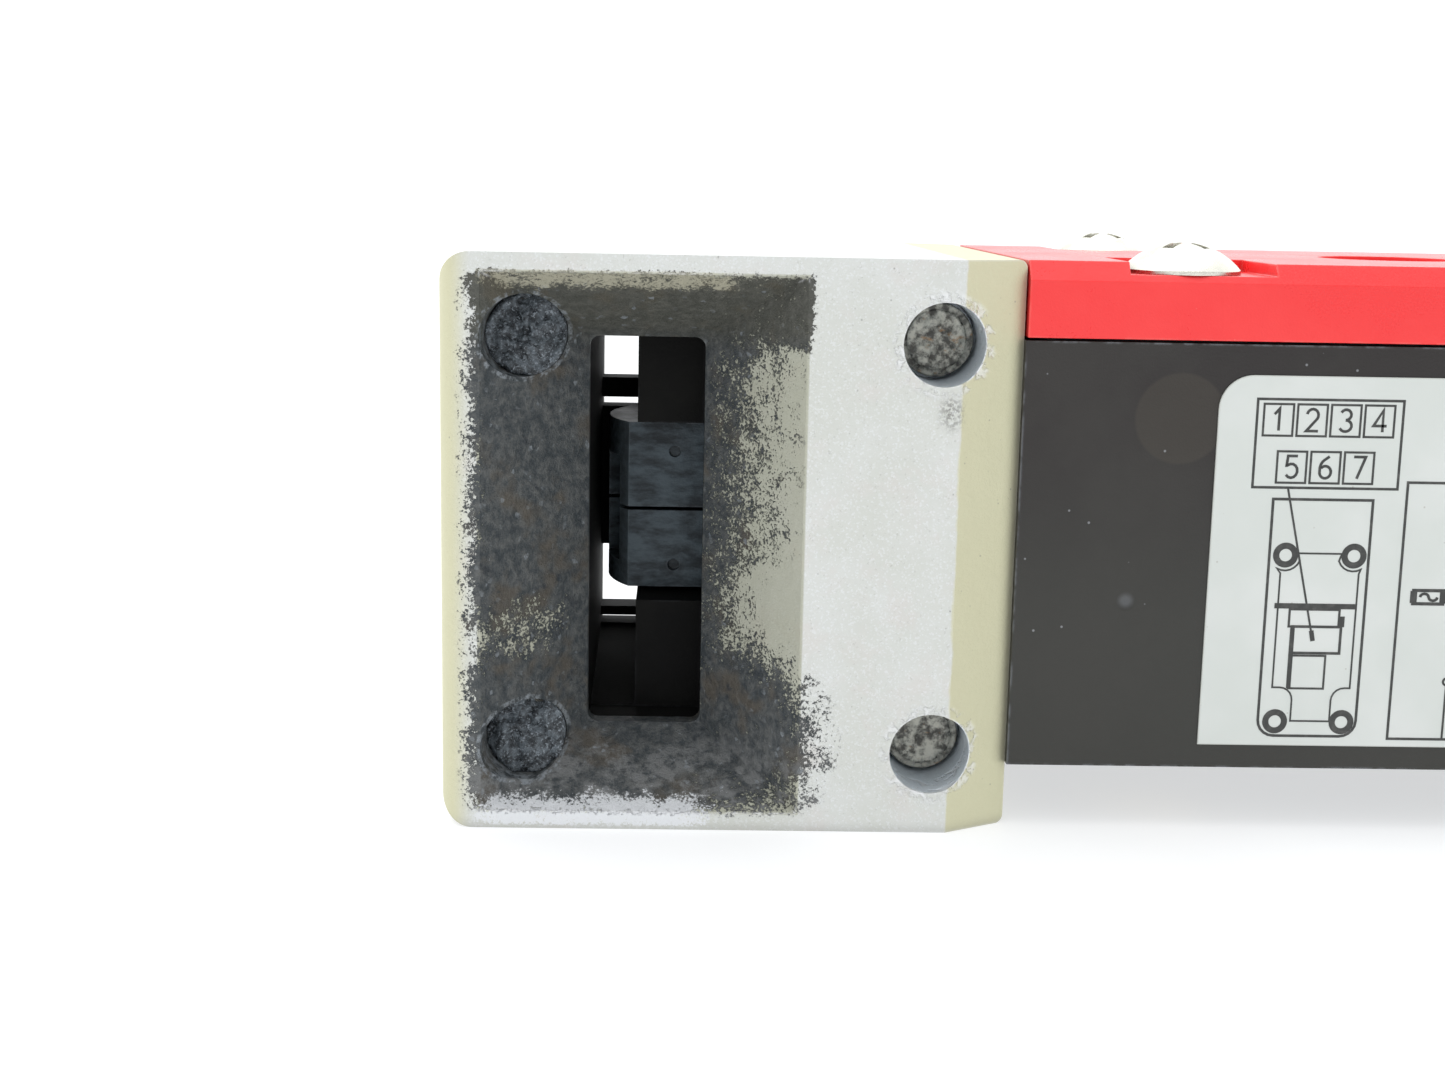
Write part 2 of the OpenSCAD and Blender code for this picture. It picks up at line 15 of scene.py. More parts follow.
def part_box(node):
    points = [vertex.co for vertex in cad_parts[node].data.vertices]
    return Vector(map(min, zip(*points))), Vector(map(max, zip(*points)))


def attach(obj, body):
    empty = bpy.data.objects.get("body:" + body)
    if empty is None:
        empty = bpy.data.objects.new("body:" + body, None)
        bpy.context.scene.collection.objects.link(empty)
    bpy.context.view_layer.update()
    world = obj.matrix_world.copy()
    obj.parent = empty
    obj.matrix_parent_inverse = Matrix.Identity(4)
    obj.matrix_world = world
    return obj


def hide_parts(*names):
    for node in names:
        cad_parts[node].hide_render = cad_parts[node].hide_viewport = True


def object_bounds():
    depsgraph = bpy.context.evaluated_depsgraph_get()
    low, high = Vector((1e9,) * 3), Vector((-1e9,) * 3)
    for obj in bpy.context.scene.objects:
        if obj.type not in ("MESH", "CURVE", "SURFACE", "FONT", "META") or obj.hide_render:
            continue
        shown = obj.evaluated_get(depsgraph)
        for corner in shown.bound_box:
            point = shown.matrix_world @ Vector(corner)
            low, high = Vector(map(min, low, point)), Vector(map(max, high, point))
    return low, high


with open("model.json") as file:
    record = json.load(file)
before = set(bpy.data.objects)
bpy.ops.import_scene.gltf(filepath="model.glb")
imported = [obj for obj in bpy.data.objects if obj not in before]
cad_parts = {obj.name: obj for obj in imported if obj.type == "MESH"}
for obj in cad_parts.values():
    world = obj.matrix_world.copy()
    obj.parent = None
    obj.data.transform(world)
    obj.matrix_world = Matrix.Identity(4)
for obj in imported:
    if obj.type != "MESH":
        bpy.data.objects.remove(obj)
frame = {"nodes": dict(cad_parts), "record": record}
MM = 0.001
cad_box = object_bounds()
scene = bpy.context.scene


def corners(node):
    """The lowest and highest corner of a CAD node, in millimetres."""
    return [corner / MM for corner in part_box(node)]


head_lo, _ = corners("head_casting")
_, body_hi = corners("housing")
label_lo, _ = corners("label")
HEAD_X0 = head_lo.x
SCREW_X = (HEAD_X0 + 6, HEAD_X0 + 36)
SCREW_Z = (6, 36)
BORE_R = 3.0
FUNNEL_X = (2.9, 26.3)
FUNNEL_Z = (1.3, 40.7)
# painted shade colour for the screws' corners and recesses
CREVICE_SHADE_BLACK = (0.03, 0.028, 0.025)
# painted shade colour for the metal parts' corners and recesses
METAL_RECESS_SHADE = (0.10, 0.09, 0.07)
SCREW_SLOT = "dark_steel"
ROOM_TINT = (0.97, 0.985, 1.0, 1)
FLOOR_HALF = 3.0


# ---------------------------------------------------------------- materials

class Field:
    """A number at every point of a surface, made of shader nodes."""

    def __init__(self, kit, socket):
        self.kit = kit
        self.socket = socket

    def math(self, operation, other=None, clamp=False):
        node = self.kit.add("ShaderNodeMath", operation=operation, use_clamp=clamp)
        self.kit.feed(node.inputs[0], self)
        if other is not None:
            self.kit.feed(node.inputs[1], other)
        return Field(self.kit, node.outputs[0])

    def __add__(self, other):
        return self.math("ADD", other)

    def __sub__(self, other):
        return self.math("SUBTRACT", other)

    def __mul__(self, other):
        return self.math("MULTIPLY", other)

    def lowest(self, other):
        return self.math("MINIMUM", other)

    def highest(self, other):
        return self.math("MAXIMUM", other)

    def clamped(self):
        return self.math("ADD", 0.0, clamp=True)

    def ramp(self, start, end):
        """A smooth step from 0 at start to 1 at end."""
        node = self.kit.add("ShaderNodeMapRange", interpolation_type="SMOOTHSTEP")
        self.kit.feed(node.inputs["Value"], self)
        node.inputs["From Min"].default_value = start
        node.inputs["From Max"].default_value = end
        return Field(self.kit, node.outputs["Result"])

    def band(self, low, high, soft):
        """1 between low and high, falling to 0 over the distance soft."""
        return self.ramp(low - soft, low) * self.ramp(high + soft, high)


class Finish:
    """A material and the few node patterns that all the materials share."""

    def __init__(self, name, metallic=0.0, specular=0.5):
        self.material = bpy.data.materials.new(name)
        self.material.use_nodes = True
        self.tree = self.material.node_tree
        self.tree.nodes.clear()
        self.shader = self.add("ShaderNodeBsdfPrincipled")
        self.shader.inputs["Metallic"].default_value = metallic
        self.shader.inputs["Specular IOR Level"].default_value = specular
        output = self.add("ShaderNodeOutputMaterial")
        self.tree.links.new(self.shader.outputs[0], output.inputs["Surface"])
        coordinates = self.add("ShaderNodeTexCoord")
        scale = self.add("ShaderNodeVectorMath", operation="SCALE")
        self.tree.links.new(coordinates.outputs["Object"], scale.inputs[0])
        scale.inputs["Scale"].default_value = 1 / MM
        self.place = scale.outputs[0]
        split = self.add("ShaderNodeSeparateXYZ")
        self.tree.links.new(self.place, split.inputs[0])
        self.x, self.y, self.z = [Field(self, socket) for socket in split.outputs]

    def add(self, kind, **settings):
        node = self.tree.nodes.new(kind)
        for key, value in settings.items():
            setattr(node, key, value)
        return node

    def feed(self, socket, value):
        if isinstance(value, Field):
            self.tree.links.new(value.socket, socket)
        else:
            socket.default_value = value

    def stretched(self, x=1, y=1, z=1):
        """The place on the object, scaled along each axis."""
        node = self.add("ShaderNodeVectorMath", operation="MULTIPLY")
        self.tree.links.new(self.place, node.inputs[0])
        node.inputs[1].default_value = (x, y, z)
        return node.outputs[0]

    def noise(self, per_mm, detail=3, roughness=0.6, at=None):
        """Cloudy noise from 0 to 1, with about per_mm lumps in a millimetre."""
        node = self.add("ShaderNodeTexNoise")
        self.tree.links.new(at or self.place, node.inputs["Vector"])
        node.inputs["Scale"].default_value = per_mm
        node.inputs["Detail"].default_value = detail
        node.inputs["Roughness"].default_value = roughness
        return Field(self, node.outputs[0])

    def cells(self, per_mm):
        """The distance to the nearest of many scattered points."""
        node = self.add("ShaderNodeTexVoronoi")
        self.tree.links.new(self.place, node.inputs["Vector"])
        node.inputs["Scale"].default_value = per_mm
        return Field(self, node.outputs["Distance"])

    def sparkle(self, per_mm):
        """A random number for each small cell, as metal flakes have."""
        node = self.add("ShaderNodeTexVoronoi")
        self.tree.links.new(self.place, node.inputs["Vector"])
        node.inputs["Scale"].default_value = per_mm
        split = self.add("ShaderNodeSeparateColor")
        self.tree.links.new(node.outputs["Color"], split.inputs[0])
        return Field(self, split.outputs[0])

    def edges(self, radius):
        """Near 1 on edges, 0 on flat faces."""
        bevel = self.add("ShaderNodeBevel", samples=6)
        bevel.inputs["Radius"].default_value = radius * MM
        geometry = self.add("ShaderNodeNewGeometry")
        dot = self.add("ShaderNodeVectorMath", operation="DOT_PRODUCT")
        self.tree.links.new(bevel.outputs[0], dot.inputs[0])
        self.tree.links.new(geometry.outputs["Normal"], dot.inputs[1])
        return Field(self, dot.outputs["Value"]).ramp(0.999, 0.93)

    def recess_shade(self, distance):
        """Near 1 in corners and recesses, where shade falls; a colour mixed in by it is painted
        shade.
        """
        node = self.add("ShaderNodeAmbientOcclusion", samples=8)
        node.inputs["Distance"].default_value = distance * MM
        return Field(self, node.outputs["AO"]).ramp(0.95, 0.35)

    def facing(self, x=0, y=0, z=0):
        """How far the surface faces a direction, from -1 to 1."""
        geometry = self.add("ShaderNodeTexCoord")
        dot = self.add("ShaderNodeVectorMath", operation="DOT_PRODUCT")
        self.tree.links.new(geometry.outputs["Normal"], dot.inputs[0])
        dot.inputs[1].default_value = (x, y, z)
        return Field(self, dot.outputs["Value"])

    def distance(self, x=None, y=None, z=None, squeeze=1):
        """The distance from a point, or from an axis where a coordinate is left out."""
        total = None
        for field, centre, scale in ((self.x, x, squeeze), (self.y, y, 1), (self.z, z, 1)):
            if centre is None:
                continue
            side = (field - centre) * scale
            total = side * side if total is None else total + side * side
        return total.math("SQRT")

    def mix(self, amount, first, second):
        node = self.add("ShaderNodeMix", data_type="RGBA")
        self.feed(node.inputs["Factor"], amount)
        sockets = [socket for socket in node.inputs if socket.type == "RGBA"]
        for socket, value in zip(sockets, (first, second)):
            if isinstance(value, tuple):
                socket.default_value = (*value, 1)
            else:
                self.tree.links.new(value, socket)
        return next(socket for socket in node.outputs if socket.type == "RGBA")

    def colour(self, value):
        self.tree.links.new(value, self.shader.inputs["Base Color"])

    def rough(self, field):
        self.feed(self.shader.inputs["Roughness"], field)

    def metal(self, field):
        self.feed(self.shader.inputs["Metallic"], field)

    def bump(self, *layers):
        """Adds height patterns, each given with its height in millimetres."""
        last = None
        for field, height in layers:
            node = self.add("ShaderNodeBump")
            node.inputs["Distance"].default_value = height * MM
            self.feed(node.inputs["Height"], field)
            if last is not None:
                self.tree.links.new(last, node.inputs["Normal"])
            last = node.outputs[0]
        self.tree.links.new(last, self.shader.inputs["Normal"])


def slopes_of_funnel(m):
    """1 inside the funnel's rim on the front face, 0 outside it."""
    x = m.x - HEAD_X0
    return x.band(*FUNNEL_X, 0.15) * m.z.band(*FUNNEL_Z, 0.15)


def grease_amount(m):
    """How thickly grease lies on the head, before noise breaks it into specks."""
    x = m.x - HEAD_X0
    z = m.z
    wander = (m.noise(0.16, detail=2) - 0.5) * 4
    left = (x + wander * 0.15).ramp(0.8, 4.4) * x.ramp(20.0, 18.0) * 1.4
    left = left - m.distance(x=HEAD_X0 + 6.2, z=14.4, squeeze=0.8).ramp(4.2, 1.0) * 0.75
    corner = (z + wander * 0.4).ramp(33.0, 39.6) * 5.0
    right = (x - corner + wander * 0.4).ramp(27.8, 16.4) * x.band(18.0, 26.1, 0.6) * 1.1
    right = right - m.distance(x=HEAD_X0 + 24.4, z=15.3, squeeze=0.9).ramp(6.5, 1.0) * 0.3
    blob = m.distance(x=HEAD_X0 + 21.4, z=6.6, squeeze=1.08).ramp(9.6, 2.4) * 1.2
    low = (z + wander * 0.1).ramp(7.4, 5.4) * x.band(3.0, 26.0, 0.8) * 0.62
    high = (z + wander * 0.1).ramp(34.4, 36.2) * x.band(3.0, 26.2, 0.8) * 0.95
    amount = left.highest(right).highest(low).highest(high)
    amount = amount * z.band(1.9, 40.1, 1.0)
    return amount.highest(blob * z.ramp(0.5, 2.4)) * m.y.ramp(-8, -12)


def counterbores(m, x):
    """The distance from the axis of the nearer of the two counterbores at x."""
    return m.distance(x=x, z=SCREW_Z[0]).lowest(m.distance(x=x, z=SCREW_Z[1]))


def silver_coat(m, grain):
    """The head's coating: sparkling silver on its faces, with painted shade as a yellowish, darker
    tint on the chamfer and the left edge, and darker, warmer tones on the funnel's slopes.
    """
    x = m.x - HEAD_X0
    mottle = m.noise(0.12, detail=3)
    tone = m.mix(mottle.ramp(0.35, 0.7), (0.70, 0.715, 0.67), (0.75, 0.765, 0.74))
    tone = m.mix(m.noise(0.3, detail=4).ramp(0.5, 0.7) * 0.5, tone, (0.74, 0.71, 0.68))
    tone = m.mix(m.sparkle(8.0).ramp(0.7, 1.0) * 0.35, tone, (0.92, 0.94, 0.97))
    tone = m.mix(grain.ramp(0.42, 0.27) * 0.4, tone, (0.38, 0.38, 0.34))
    chamfer = (x + (m.noise(0.5, detail=3) - 0.5) * 0.5).ramp(37.15, 37.4)
    # painted shade: the inclined chamfer and left edge get a yellowish, darker tint by the way
    # they face
    chamfer_shade = chamfer.highest(x.ramp(2.6, 0.8)) * m.facing(y=-1).ramp(-0.4, 0.1)
    tone = m.mix(chamfer_shade * 0.9, tone, (0.68, 0.66, 0.44))
    slope = slopes_of_funnel(m) * m.y.ramp(-12.6, -13.2)
    return m.mix(slope * 0.66, tone, (0.40, 0.40, 0.28))


def grease_tone(m, streaks, patches):
    """The grease's colour: olive at the top, paler at the bottom, with a few scuffs."""
    tone = m.mix(streaks.ramp(0.35, 0.7), (0.040, 0.049, 0.055), (0.125, 0.130, 0.128))
    tone = m.mix(m.noise(0.28, detail=3).ramp(0.5, 0.68) * 0.7, tone, (0.105, 0.088, 0.066))
    tone = m.mix(m.noise(0.9, detail=4).ramp(0.58, 0.72) * 0.7, tone, (0.020, 0.026, 0.034))
    tone = m.mix(m.z.ramp(34.5, 37) * 0.5, tone, (0.100, 0.095, 0.066))
    pale = m.z.ramp(7.0, 3.5) * patches.ramp(0.42, 0.6)
    tone = m.mix(pale * 0.8, tone, (0.21, 0.215, 0.215))
    scuffs = m.sparkle(3.0).ramp(0.93, 1.0) * patches.ramp(0.45, 0.6)
    return m.mix(scuffs * 0.6, tone, (0.30, 0.33, 0.36))


def rubbed_and_glinting_rims(m, speckle, patches):
    """Where the funnel's lower and upper rims are rubbed bright, each with a ragged edge; the
    lower one also carries painted glints.
    """
    x = m.x - HEAD_X0
    ragged = (speckle - 0.5) * 2.2 + (patches - 0.5) * 2
    low = (m.z.band(0.9, 1.4, 1.7) * x.band(5.0, 17.5, 5.0) + ragged).ramp(0.5, 0.8)
    high = (m.z.band(40.1, 40.6, 1.2) * x.band(6.0, 19.0, 5.0) * 0.8 + ragged).ramp(0.4, 0.8)
    low = low * m.z.band(0.4, 3.0, 0.3) * x.band(3.0, 22.0, 1.0)
    high = high * m.z.band(39.0, 40.7, 0.2) * x.band(3.5, 24.0, 1.0)
    return low, high


def cast_alloy():
    """Silver-coated die casting: fine sparkling grain, a yellowish chamfer that is painted shade,
    grease and wear, painted shade in recesses and painted glints on rims.
    """
    m = Finish("cast_alloy", metallic=0.3, specular=0.45)
    x = m.x - HEAD_X0
    front = m.y.ramp(-17.5, -18.0)
    grain = m.noise(3.4, detail=4, roughness=0.75)
    speckle = m.noise(4.6, detail=4, roughness=0.7)
    patches = m.noise(0.7, detail=4, roughness=0.7)
    streaks = m.noise(1.3, detail=5, roughness=0.75)

    amount = grease_amount(m)
    broken = amount + (speckle - 0.5) * 2.8 + (patches - 0.5) * 1.8
    greasy = broken.ramp(0.42, 0.66) * amount.ramp(0.02, 0.16)

    bore = counterbores(m, SCREW_X[1])
    wall = bore.ramp(BORE_R + 0.12, BORE_R) * m.y.ramp(-20.9, -20.6)
    lip = bore.band(BORE_R, BORE_R + 0.5, 0.5) * m.noise(1.1, detail=3).ramp(0.46, 0.62) * front
    # rubbed bright edges of the bores and rims; on the funnel's rims partly painted glints
    rims = m.z.band(0.5, 1.7, 0.5).highest(m.z.band(40.4, 41.4, 0.3) * 0.7)
    rims = rims * x.band(4.0, 25.0, 3.0) * patches.ramp(0.38, 0.6) * front
    wear_and_glints = m.edges(0.3) * (lip * 0.8).highest(rims).highest(x.ramp(30, 34) * 0.25)
    # painted highlight: a bluish glint along the rims of the left counterbores
    bore_rim_glint = counterbores(m, SCREW_X[0]).band(2.95, 3.25, 0.12) * streaks.ramp(0.45, 0.6)
    bore_rim_glint = bore_rim_glint * m.y.ramp(-8, -12)
    low_rim_wear_and_glint, high_rim = rubbed_and_glinting_rims(m, speckle, patches)
    stain = m.distance(x=HEAD_X0 + 36.6, z=31.2, squeeze=1.4).ramp(1.9, 0.3) * front
    stain = stain * speckle.ramp(0.42, 0.6)
    pits = m.cells(1.5).ramp(0.15, 0.05) * m.noise(0.5).ramp(0.52, 0.64)

    # painted shade: the coat is darkened in corners and recesses
    tone = m.mix(m.recess_shade(1.3) * 0.4, silver_coat(m, grain), (0.22, 0.21, 0.18))
    tone = m.mix((pits * 0.5).highest(stain * 0.7), tone, (0.17, 0.16, 0.15))
    tone = m.mix(greasy, tone, grease_tone(m, streaks, patches))
    tone = m.mix(bore_rim_glint * 0.6, tone, (0.35, 0.39, 0.43))
    # painted highlight: bright glints along the lower rim, on rubbed metal
    tone = m.mix(low_rim_wear_and_glint * front * 0.85, tone, (0.86, 0.88, 0.91))
    tone = m.mix(high_rim * front * 0.6, tone, (0.66, 0.63, 0.48))
    tone = m.mix(wall, tone, (0.86, 0.92, 0.97))
    m.colour(m.mix((wear_and_glints.highest(lip * 0.5)).clamped(), tone, (0.95, 0.96, 0.98)))
    m.metal((wall * 0.15 + (greasy * -0.25) + 0.3).clamped())
    m.rough((greasy * -0.12 + (wall * -0.2) + (grain - 0.5) * 0.3 + 0.55).clamped())
    m.bump((grain, 0.05), (m.noise(0.45, detail=2), 0.08), (streaks * greasy, 0.2), (lip, -0.12))
    return m.material


def dirty_screw():
    """Dark cap screws with dried grime on their heads and a touch of rust."""
    m = Finish("dark_steel", metallic=0.4)
    blotch = m.noise(1.3, detail=5, roughness=0.7)
    rust = m.noise(0.9, detail=4, at=m.stretched(1, 1, 1.7)).ramp(0.6, 0.7)
    tone = m.mix(blotch.ramp(0.38, 0.62), (0.10, 0.094, 0.082), (0.62, 0.60, 0.52))
    tone = m.mix(rust * 0.6, tone, (0.42, 0.22, 0.08))
    # painted shade: near-black mixed into corners and recesses
    m.colour(m.mix(m.recess_shade(0.9) * 0.35, tone, CREVICE_SHADE_BLACK))
    m.rough((blotch - 0.5) * 0.4 + 0.5)
    m.bump((blotch, 0.12), (m.noise(4), 0.03))
    return m.material


def lumpy_grease():
    """Black, lumpy, half-dry grease with a wet shine in places and painted bluish glints."""
    m = Finish("grease", specular=0.6)
    lumps = m.noise(1.6, detail=5, roughness=0.7)
    dust = m.noise(5, detail=3)
    tone = m.mix(lumps.ramp(0.4, 0.68), (0.030, 0.036, 0.042), (0.20, 0.235, 0.265))
    # painted highlight: the bluish-white specks laid on by the dust noise are glints
    m.colour(m.mix(dust.ramp(0.54, 0.66) * 0.7, tone, (0.45, 0.51, 0.57)))
    m.rough((lumps - 0.5) * 0.5 + 0.32)
    m.bump((lumps, 0.25), (dust, 0.05))
    return m.material


def plastic(name, dark, light, roughness, specular=0.5, dust=(0.3, 0.29, 0.27)):
    """Moulded plastic with fine grain, slight clouding, rubbed edges, dust and painted shade in
    its corners.
    """
    m = Finish(name, specular=specular)
    grain = m.noise(5, detail=3)
    cloud = m.noise(0.12, detail=4)
    tone = m.mix(cloud.ramp(0.35, 0.7), dark, light)
    rubbed = m.edges(0.25) * m.noise(0.7).ramp(0.4, 0.62)
    tone = m.mix(rubbed * 0.3, tone, dust)
    # painted shade: a darker copy of the colour mixed into corners and recesses
    tone = m.mix(m.recess_shade(1.2) * 0.35, tone, tuple(0.5 * c for c in dark))
    specks = m.cells(0.7).ramp(0.06, 0.02) * m.noise(0.3).ramp(0.5, 0.6)
    m.colour(m.mix(specks * 0.5, tone, dust))
    m.rough((cloud - 0.5) * 0.25 + (grain - 0.5) * 0.1 + roughness)
    m.bump((grain, 0.02), (cloud, 0.05))
    return m.material


def housing_plastic():
    """Brown-black moulding with a faint round moulding mark, a dent and a rubbed top edge."""
    m = Finish("housing_plastic", specular=0.5)
    grain = m.noise(5, detail=3)
    cloud = m.noise(0.1, detail=4)
    tone = m.mix(m.z.ramp(33, 14), (0.016, 0.012, 0.011), (0.026, 0.026, 0.021))
    tone = m.mix(cloud.ramp(0.4, 0.7) * 0.4, tone, (0.038, 0.036, 0.031))
    disc = m.distance(x=HEAD_X0 + 53.5, z=30.85).ramp(3.45, 3.15)
    side = m.facing(y=-1).ramp(0.5, 0.9)
    tone = m.mix(disc * side * 0.5, tone, (0.048, 0.040, 0.029))
    dent = m.distance(x=HEAD_X0 + 50.25, z=17.3).ramp(0.75, 0.2) * side
    scratches = m.noise(1.2, detail=5, at=m.stretched(0.25, 1, 3)).ramp(0.62, 0.68)
    top = m.z.ramp(body_hi.z - 1.6, body_hi.z - 0.3) * scratches
    rubbed = m.edges(0.3) * m.noise(0.8, detail=3).ramp(0.42, 0.62)
    tone = m.mix((rubbed * 0.3).highest(top * 0.35).highest(dent * 0.15), tone, (0.42, 0.45, 0.50))
    motes = m.cells(0.45).ramp(0.055, 0.03)
    tone = m.mix(motes * 0.4, tone, (0.5, 0.52, 0.55))
    # painted shade: near-black mixed into corners and recesses
    m.colour(m.mix(m.recess_shade(1.0) * 0.3, tone, (0.012, 0.011, 0.010)))
    m.rough((cloud - 0.5) * 0.2 + (grain - 0.5) * 0.12 + 0.36)
    m.bump((grain, 0.02), (cloud, 0.05), (dent, -0.12))
    return m.material


def rotor_plastic():
    """Blue-black moulding, rubbed and smeared by the tongue that drives it."""
    m = Finish("cam_plastic", specular=0.32)
    smear = m.noise(0.8, detail=5, roughness=0.65, at=m.stretched(0.5, 1, 1.3))
    grain = m.noise(5, detail=3)
    tone = m.mix(smear.ramp(0.36, 0.66), (0.020, 0.028, 0.035), (0.082, 0.114, 0.136))
    # painted highlight: faces turned partly towards -X are painted lighter, as they catch more
    # light
    rounded = m.facing(x=-1).band(0.25, 0.85, 0.15)
    tone = m.mix(rounded * 0.5, tone, (0.17, 0.20, 0.22))
    rubbed = m.edges(0.3) * m.noise(1.1, detail=3).ramp(0.38, 0.6)
    tone = m.mix(rubbed * 0.3, tone, (0.25, 0.28, 0.31))
    # painted shade: near-black mixed into corners and recesses
    m.colour(m.mix(m.recess_shade(0.8) * 0.6, tone, (0.008, 0.009, 0.010)))
    m.rough((smear - 0.5) * -0.5 + 0.42)
    m.bump((smear, 0.12), (grain, 0.02))
    return m.material


def metal(name, tone, roughness):
    """Machined or drawn metal with fine lines, tarnish and painted shade in its corners."""
    m = Finish(name, metallic=1.0)
    lines = m.noise(6, detail=3)
    tarnish = m.noise(0.5, detail=4)
    base = m.mix(tarnish.ramp(0.4, 0.75) * 0.5, tone, tuple(0.55 * c for c in tone))
    # painted shade: grey-brown mixed into corners and recesses
    base = m.mix(m.recess_shade(1.0) * 0.7, base, METAL_RECESS_SHADE)
    m.colour(m.mix(m.edges(0.2) * 0.4, base, tuple(min(1, 1.25 * c) for c in tone)))
    m.rough((lines - 0.5) * 0.3 + (tarnish - 0.5) * 0.25 + roughness)
    m.bump((lines, 0.015))
    return m.material


def rubber():
    """Dusty black rubber."""
    m = Finish("black_rubber", specular=0.3)
    dust = m.noise(0.8, detail=4)
    m.colour(m.mix(dust.ramp(0.45, 0.75), (0.018, 0.018, 0.018), (0.06, 0.058, 0.055)))
    m.rough((dust - 0.5) * 0.3 + 0.75)
    m.bump((m.noise(4), 0.02))
    return m.material


def ink():
    """Faded black print."""
    m = Finish("label_ink", specular=0.4)
    fade = m.noise(1.5, detail=3)
    m.colour(m.mix(fade.ramp(0.4, 0.8), (0.05, 0.052, 0.05), (0.10, 0.10, 0.095)))
    m.rough((fade - 0.5) * 0.2 + 0.45)
    m.bump((fade, 0.004))
    return m.material


def film():
    """The label's pale film, slightly dirty at its edges."""
    m = Finish("label_film", specular=0.45)
    cloud = m.noise(0.1, detail=3)
    fleck = m.cells(0.5).ramp(0.05, 0.02) * 0.5
    tone = m.mix(cloud.ramp(0.35, 0.7), (0.70, 0.735, 0.70), (0.76, 0.785, 0.76))
    tone = m.mix(m.edges(0.2) * 0.4, tone, (0.36, 0.36, 0.30))
    m.colour(m.mix(fleck, tone, (0.4, 0.38, 0.33)))
    m.rough((m.noise(2) - 0.5) * 0.15 + 0.38)
    m.bump((m.noise(1.2, detail=4), 0.006))
    return m.material


def floor_finish():
    """A pale table that glows a little, so that shade on it stays light."""
    m = Finish("pale_floor", specular=0.3)
    smear = m.noise(0.02, detail=5)
    m.colour(m.mix(smear.ramp(0.4, 0.7), (0.46, 0.46, 0.46), (0.50, 0.50, 0.50)))
    m.rough((smear - 0.5) * 0.2 + 0.6)
    m.bump((m.noise(0.3, detail=3), 0.02))
    m.shader.inputs["Emission Color"].default_value = ROOM_TINT
    m.shader.inputs["Emission Strength"].default_value = 0.62
    return m.material


MATERIALS = {
    "cast_alloy": cast_alloy(),
    "dark_steel": dirty_screw(),
    "grease": lumpy_grease(),
    "black_plastic": plastic("black_plastic", (0.006, 0.006, 0.006), (0.012, 0.012, 0.011), 0.7,
                             specular=0.12, dust=(0.06, 0.065, 0.07)),
    "cam_plastic": rotor_plastic(),
    "bright_steel": metal("bright_steel", (0.72, 0.72, 0.70), 0.25),
    "brass": metal("brass", (0.78, 0.60, 0.30), 0.32),
    "black_rubber": rubber(),
    "housing_plastic": housing_plastic(),
    "red_plastic": plastic("red_plastic", (0.98, 0.040, 0.042), (1.0, 0.052, 0.052), 0.3,
                           dust=(0.95, 0.35, 0.3)),
    "zinc_steel": metal("zinc_steel", (0.80, 0.79, 0.70), 0.28),
    "label_film": film(),
    "grey_plastic": plastic("grey_plastic", (0.11, 0.115, 0.125), (0.16, 0.165, 0.175), 0.5),
    "cream_plastic": plastic("cream_plastic", (0.60, 0.55, 0.42), (0.68, 0.64, 0.52), 0.45),
    "copper": metal("copper", (0.80, 0.44, 0.28), 0.3),
    "label_ink": ink(),
}


# ------------------------------------------------------------------- pieces

def link(name, mesh, slot, body="root"):
    """A new object with its finish, riding on a body."""
    piece = bpy.data.objects.new(name, mesh)
    scene.collection.objects.link(piece)
    mesh.materials.clear()
    mesh.materials.append(MATERIALS[slot])
    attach(piece, body)
    return piece


def refined(node, slot, bevel, segments, body):
    """Stands for a CAD node: the same shape with merged faces and rounded edges."""
    work = bmesh.new()
    work.from_mesh(frame["nodes"][node].data)
    bmesh.ops.remove_doubles(work, verts=work.verts, dist=0.0005 * MM)
    bmesh.ops.dissolve_limit(
        work, angle_limit=math.radians(0.4), verts=work.verts, edges=work.edges
    )
    for face in work.faces:
        face.smooth = True
    for edge in work.edges:
        edge.smooth = True
    mesh = bpy.data.meshes.new(node + "_refined")
    work.to_mesh(mesh)
    work.free()
    for name in ("custom_normal", "sharp_edge"):
        if name in mesh.attributes:
            mesh.attributes.remove(mesh.attributes[name])
    piece = link(node + "_piece", mesh, slot, body)
    rounding = piece.modifiers.new("rounded_edges", "BEVEL")
    rounding.limit_method = "ANGLE"
    rounding.angle_limit = math.radians(28)
    rounding.width = bevel * MM
    rounding.segments = segments
    rounding.harden_normals = True
    rounding.use_clamp_overlap = True
    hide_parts(node)


REFINED = (
    ("head_casting", "cast_alloy", 0.22, 3, "root"),
    ("head_rear_plate", "cast_alloy", 0.22, 3, "root"),
    ("head_screws", "dark_steel", 0.15, 2, "root"),
    ("cam_carrier", "black_plastic", 0.15, 2, "root"),
    ("rotor_upper", "cam_plastic", 0.25, 3, "rotor"),
    ("rotor_lower", "cam_plastic", 0.25, 3, "rotor"),
    ("housing", "housing_plastic", 0.3, 3, "root"),
    ("lid", "red_plastic", 0.3, 3, "root"),
    ("lid_screws", "zinc_steel", 0.12, 2, "root"),
    ("mounting_inserts", "brass", 0.15, 2, "root"),
)
for node, slot, bevel, segments, body in REFINED:
    refined(node, slot, bevel, segments, body)

for subpart in frame["record"]["subparts"]:
    shown = frame["nodes"][subpart["node"]]
    shown.data.materials.clear()
    shown.data.materials.append(MATERIALS[subpart["material_slot"]])


PAD_RINGS = 12
PAD_SIDES = 40


